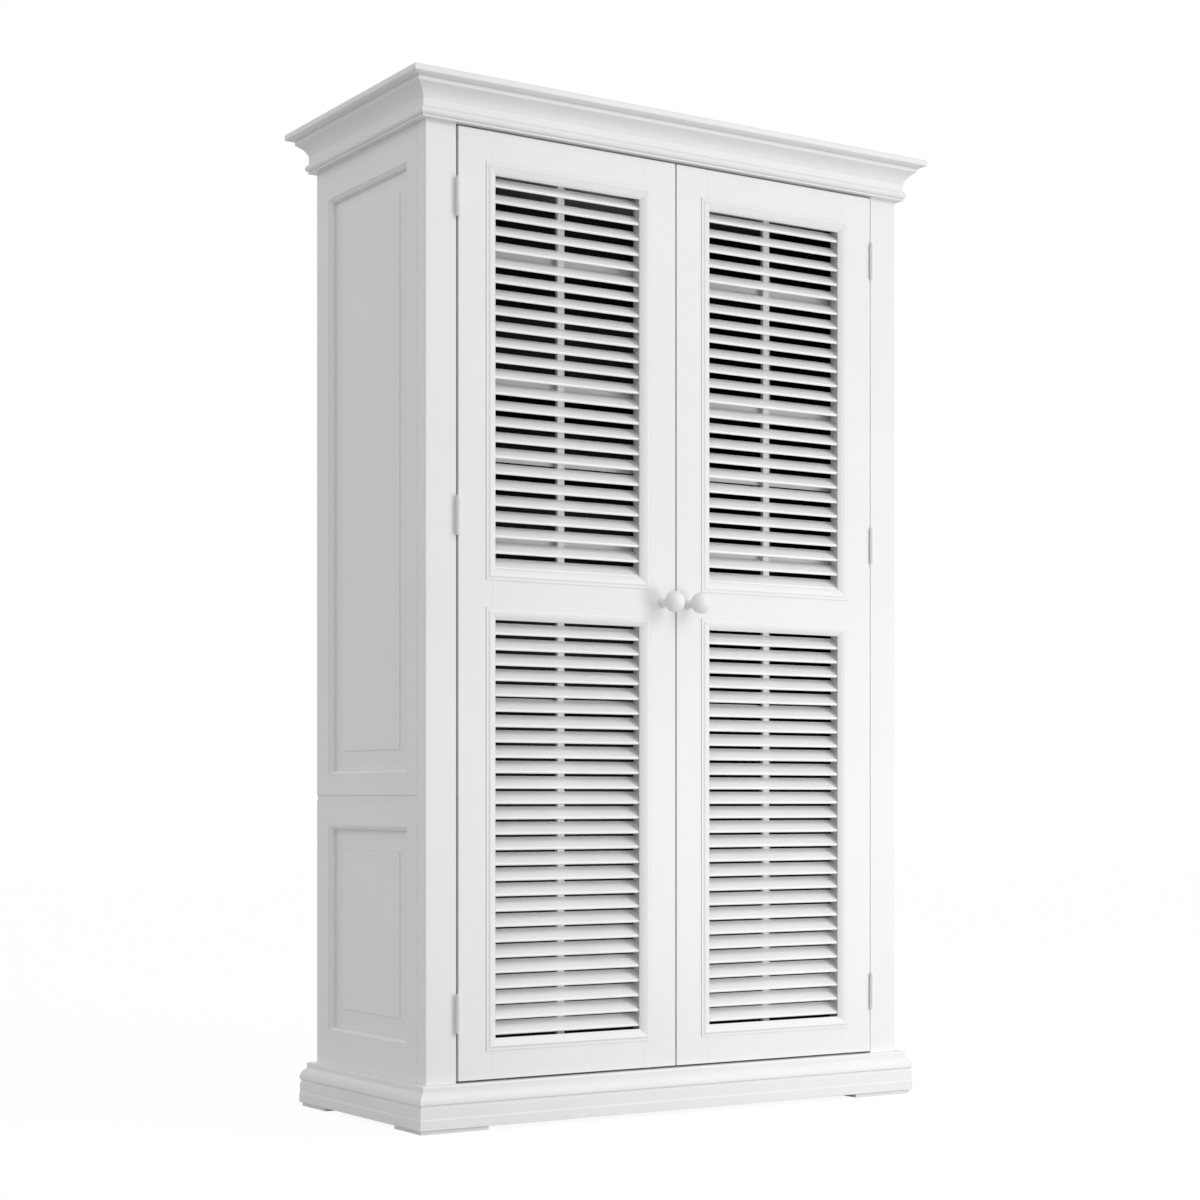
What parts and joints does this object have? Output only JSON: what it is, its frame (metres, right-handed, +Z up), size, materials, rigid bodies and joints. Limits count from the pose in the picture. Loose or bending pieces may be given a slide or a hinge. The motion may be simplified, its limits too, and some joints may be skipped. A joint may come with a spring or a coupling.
{
  "type": "louvred cupboard",
  "caption": "Tall free-standing cupboard with a moulded crown and plinth, panelled sides, adjustable shelves and two louvred doors on butt hinges.",
  "frame": {"origin": "on the floor under the middle of the whole outline, which the knobs reach in front and the crown on the other sides", "axes": "+Z up, -Y out of the front where the doors are, +X to the right of somebody facing the doors"},
  "size_m": [1.275, 0.597, 2.056],
  "materials": {
    "painted_wood": "satin white paint",
    "painted_steel": "satin white paint",
    "bare_steel": "zinc plated",
    "catch_plastic": "moulded"
  },
  "bodies": {
    "carcass": {"back_panel": "painted_wood", "bottom_board": "painted_wood", "ceiling_board": "painted_wood", "corner_feet": "painted_wood", "corner_post_left": "painted_wood", "corner_post_right": "painted_wood", "crown_back": "painted_wood", "crown_front": "painted_wood", "crown_left": "painted_wood", "crown_right": "painted_wood", "frame_hinge_screws": "painted_steel", "frame_hinges": "painted_steel", "head_rail": "painted_wood", "magnetic_catches": "catch_plastic", "plinth_back": "painted_wood", "plinth_front": "painted_wood", "plinth_left": "painted_wood", "plinth_right": "painted_wood", "shelf_pins": "bare_steel", "shelves": "painted_wood", "side_back_stile_left": "painted_wood", "side_back_stile_right": "painted_wood", "side_bottom_rail_left": "painted_wood", "side_bottom_rail_right": "painted_wood", "side_lower_panel_left": "painted_wood", "side_lower_panel_right": "painted_wood", "side_mouldings": "painted_wood", "side_top_rail_left": "painted_wood", "side_top_rail_right": "painted_wood", "side_upper_panel_left": "painted_wood", "side_upper_panel_right": "painted_wood", "side_waist_rail_left": "painted_wood", "side_waist_rail_right": "painted_wood", "top_board": "painted_wood"},
    "door_left": {"door_left_bottom_rail": "painted_wood", "door_left_hinge_leaves": "painted_steel", "door_left_hinge_screws": "painted_steel", "door_left_knob": "painted_wood", "door_left_lower_slats": "painted_wood", "door_left_meeting_stile": "painted_wood", "door_left_middle_rail": "painted_wood", "door_left_mouldings": "painted_wood", "door_left_outer_stile": "painted_wood", "door_left_slat_braces": "painted_wood", "door_left_strike": "bare_steel", "door_left_top_rail": "painted_wood", "door_left_upper_slats": "painted_wood"},
    "door_right": {"door_right_bottom_rail": "painted_wood", "door_right_hinge_leaves": "painted_steel", "door_right_hinge_screws": "painted_steel", "door_right_knob": "painted_wood", "door_right_lower_slats": "painted_wood", "door_right_meeting_stile": "painted_wood", "door_right_middle_rail": "painted_wood", "door_right_mouldings": "painted_wood", "door_right_outer_stile": "painted_wood", "door_right_slat_braces": "painted_wood", "door_right_strike": "bare_steel", "door_right_top_rail": "painted_wood", "door_right_upper_slats": "painted_wood"}
  },
  "joints": [
    {"name": "door_left_hinge", "type": "hinge", "parent": "carcass", "child": "door_left", "pos_m": [-0.5175, -0.2413, 1.03], "axis": [0, 0, -1], "range_deg": [0, 170]},
    {"name": "door_right_hinge", "type": "hinge", "parent": "carcass", "child": "door_right", "pos_m": [0.5175, -0.2413, 1.03], "axis": [0, 0, 1], "range_deg": [0, 170]}
  ]
}
